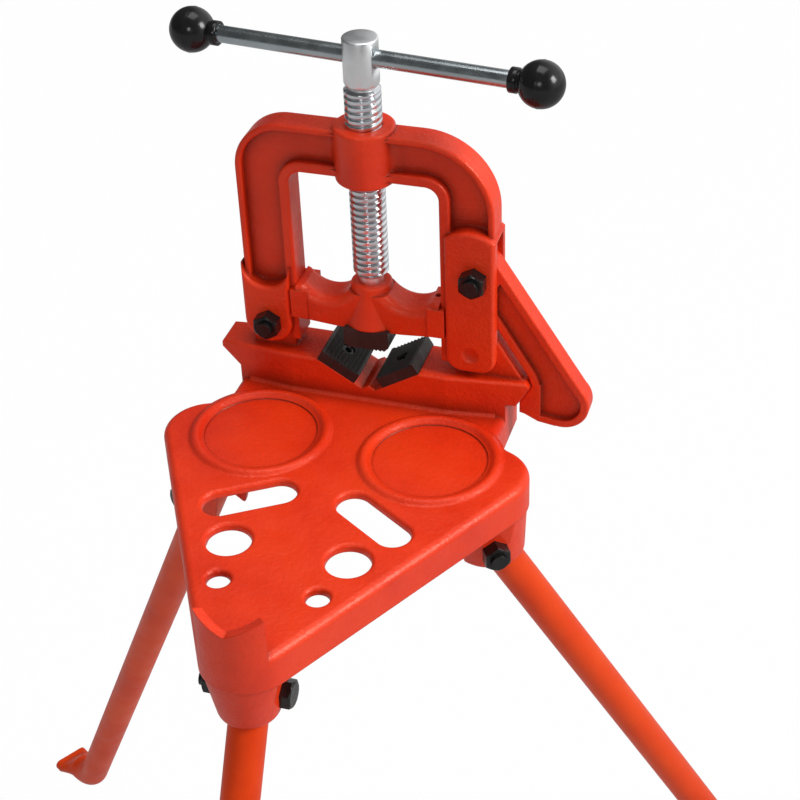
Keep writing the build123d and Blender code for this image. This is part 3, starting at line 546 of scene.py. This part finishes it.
# Clamp screw with its real thread, its turned head and the cross hole for the bar
def clamp_screw():
    low, high = screw_low, screw_high
    pitch, depth = 0.005, 0.0014
    pilot, pilot_length, pilot_chamfer = 0.009, 0.033, 0.0008
    head, head_length, head_taper, head_bulge = 0.0125, 0.035, 0.0035, 0.8
    head_round_height, head_round = 0.0009, 0.0010
    end_chamfer, relief = 0.0025, 0.0025
    pilot_step, gap_below, gap_above, plain_collar = 0.0001, 0.0005, 0.0002, 0.001
    root_width, flank_width = 0.08, 0.40
    count, rings_per_turn, taper_steps = 64, 14, 6
    hole_radius, hole_length, hole_segments = 0.00603, 0.06, 48
    tiny = 1e-9
    major = (high.x - low.x) / 2
    pilot_top = low.z + pilot_length
    head_bottom = high.z - head_length
    taper_top = head_bottom + head_taper
    thread_start, thread_end = pilot_top + gap_below, head_bottom - gap_above

    def thread_radius(level, angle):
        phase = ((level - low.z) / pitch - angle / (2 * math.pi)) % 1.0
        from_root = abs(phase - 0.5) * 2
        crest = min(1.0, max(0.0, (from_root - root_width) / flank_width))
        crest = crest * crest * (3 - 2 * crest)
        start = min(1.0, max(0.0, (level - thread_start) / end_chamfer))
        stop = min(1.0, max(0.0, (thread_end - level) / end_chamfer))
        return min(major - depth * (1 - crest), major - end_chamfer * (1 - min(start, stop)))

    def radius_at(level, angle):
        if level <= low.z + tiny:
            return pilot - pilot_chamfer
        if level <= pilot_top + tiny:
            return pilot
        if level < thread_start - tiny:
            return major - relief
        if level <= thread_end + tiny:
            return thread_radius(level, angle)
        if level < taper_top:
            below = (taper_top - level) / head_taper
            return head - head_bulge * head_taper * (1 - math.sqrt(max(0.0, 1 - below * below)))
        if level < high.z - head_round_height / 2:
            return head
        return head - head_round * (0.3 if level < high.z - tiny else 1.0)

    levels = [low.z, low.z + pilot_chamfer, pilot_top, pilot_top + pilot_step]
    steps = int((thread_end - thread_start) / pitch * rings_per_turn)
    levels += [thread_start + (thread_end - thread_start) * step / steps for step in range(steps + 1)]
    turns = [0.5 * math.pi * step / taper_steps for step in range(taper_steps + 1)]
    levels += [head_bottom + head_taper * (1 - math.cos(turn)) for turn in turns]
    levels += [high.z - head_round_height, high.z - head_round_height / 3, high.z]
    mesh = bmesh.new()
    rings = []
    for level in levels:
        ring = []
        for angle in full_turn(count):
            radius = radius_at(level, angle)
            ring.append(mesh.verts.new((radius * math.cos(angle), radius * math.sin(angle), level)))
        rings.append(ring)
    join_rings(mesh, rings)
    mesh.faces.new(tuple(reversed(rings[0])))
    mesh.faces.new(tuple(rings[-1]))
    place = Matrix.Translation((screw_axis.x, screw_axis.y, 0))
    piece = finish_mesh(mesh, "threaded_clamp_screw", place)

    bar_low, bar_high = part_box("handle_bar")
    across = bar_direction.to_track_quat("Z", "Y").to_matrix().to_4x4()
    hole_place = Matrix.Translation((screw_axis.x, screw_axis.y, (bar_low.z + bar_high.z) / 2)) @ across
    cut_away(piece, rod_cutter("cross_hole", hole_radius, hole_length, hole_segments, hole_place))
    give_materials(piece, "zinc_screw", "zinc_head")
    for face in piece.data.polygons:
        level = sum(piece.data.vertices[index].co.z for index in face.vertices) / len(face.vertices)
        plain = level > head_bottom - plain_collar or level < thread_start
        face.material_index = 1 if plain else 0
    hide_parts("clamp_screw")
    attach(piece, "screw")


# Handle balls
def handle_ball(side):
    """A moulded ball knob with the neck that sits on the bar's collar and the mould's seam round it."""
    name = f"handle_ball_{side}"
    low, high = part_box(name)
    sign = 1 if side == "right" else -1
    radius, neck, neck_length = 0.016, 0.0086, 0.0052
    mouth, mouth_chamfer, recess = 0.0061, 0.0002, 0.0006
    neck_round, foot_round, groove_lift = 0.0004, 0.0003, 0.0009
    groove, seam_height, seam_half_width = 0.0079, 0.0002, 0.0005
    steps, count = 48, 72
    neck_top = radius + neck_length
    middle = (low + high) / 2
    centre = Vector((high.x - radius if sign > 0 else low.x + radius, middle.y, middle.z))
    shoulder = math.asin(groove / radius)
    profile = [
        (0, neck_top - recess),
        (mouth, neck_top - recess),
        (mouth + mouth_chamfer, neck_top),
        (neck - neck_round, neck_top),
        (neck, neck_top - neck_round),
        (neck, radius - recess + neck_round),
        (neck - foot_round, radius - recess),
        (groove, radius - groove_lift),
    ]
    for step in range(steps):
        turn = shoulder + (math.pi - shoulder) * step / steps
        from_seam = abs(radius * math.cos(turn))
        seam = seam_height if from_seam < seam_half_width else 0
        profile.append(((radius + seam) * math.sin(turn), (radius + seam) * math.cos(turn)))
    profile.append((0, -radius))
    inward = (bar_direction * -sign).to_track_quat("Z", "Y").to_matrix().to_4x4()
    place = Matrix.Translation(centre) @ inward
    piece = finish_mesh(turned(profile, count), f"moulded_ball_{side}", place)
    give_materials(piece, "ball_plastic")
    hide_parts(name)
    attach(piece, "handle")


# Front hood
def front_hood_skin():
    """The front hood's outer face, closed round the open leg as cast; the leg folds away from it."""
    pivot = Vector(joints["fold_leg_front"]["pos_m"])
    top_radius, foot_radius, lean = 0.0315, 0.0205, 0.007
    under_rim, foot = 0.025, -0.014
    foot_round, skin = 0.0045, 0.00025
    leg_slope, leg_room, keep_beyond = math.radians(28.3), 0.0138, 0.017
    leg_reach, block_size, sharp_from = 0.3, 0.2, 35.0
    steps, count = 8, 96
    levels = [(under_rim, 0.0)]
    for step in range(steps + 1):
        turn = 0.5 * math.pi * step / steps
        level = foot - skin + foot_round * (1 - math.sin(turn))
        levels.append((level, foot_round * (1 - math.cos(turn))))
    mesh = bmesh.new()
    rings = []
    for level, inset in levels:
        share = (under_rim - level) / (under_rim - foot)
        radius = top_radius + (foot_radius - top_radius) * share + skin - inset
        ring = []
        for turn in full_turn(count):
            place = (radius * math.sin(turn), -lean * share - radius * math.cos(turn), level)
            ring.append(mesh.verts.new(place))
        rings.append(ring)
    join_rings(mesh, rings)
    mesh.faces.new(rings[0])
    mesh.faces.new(rings[-1])
    bmesh.ops.recalc_face_normals(mesh, faces=mesh.faces[:])
    piece = finish_mesh(mesh, "front_hood_skin", Matrix.Translation(pivot), sharp_from)
    leg_place = Matrix.Translation(pivot) @ Matrix.Rotation(-leg_slope, 4, "X")
    cut_away(piece, rod_cutter("leg_room", leg_room, leg_reach, count, leg_place))
    block = bmesh.new()
    bmesh.ops.create_cube(block, size=block_size)
    behind = pivot + Vector((0, block_size / 2 - keep_beyond, 0))
    cut_away(piece, finish_mesh(block, "hood_back", Matrix.Translation(behind)))
    piece.data.set_sharp_from_angle(angle=math.radians(sharp_from))
    give_materials(piece, "enamel_casting")
    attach(piece, "stand")


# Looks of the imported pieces
def cad_slot(material):
    """The record's slot name that a packed material stands for."""
    for name in sorted(materials, key=len, reverse=True):
        if name in material.name:
            return name
    raise ValueError(f"no material for {material.name}")


def dress_nodes():
    jaws = ("lower_jaw_left", "lower_jaw_right", "upper_jaw")
    for name, node in nodes.items():
        for slot in node.material_slots:
            slot.material = materials["jaw_steel" if name in jaws else cad_slot(slot.material)]


add_camera()
add_world()
add_floor()
add_lamps()
clamp_screw()
for ball_side in ("left", "right"):
    handle_ball(ball_side)
front_hood_skin()
dress_nodes()

bpy.context.scene.view_settings.view_transform = "Standard"
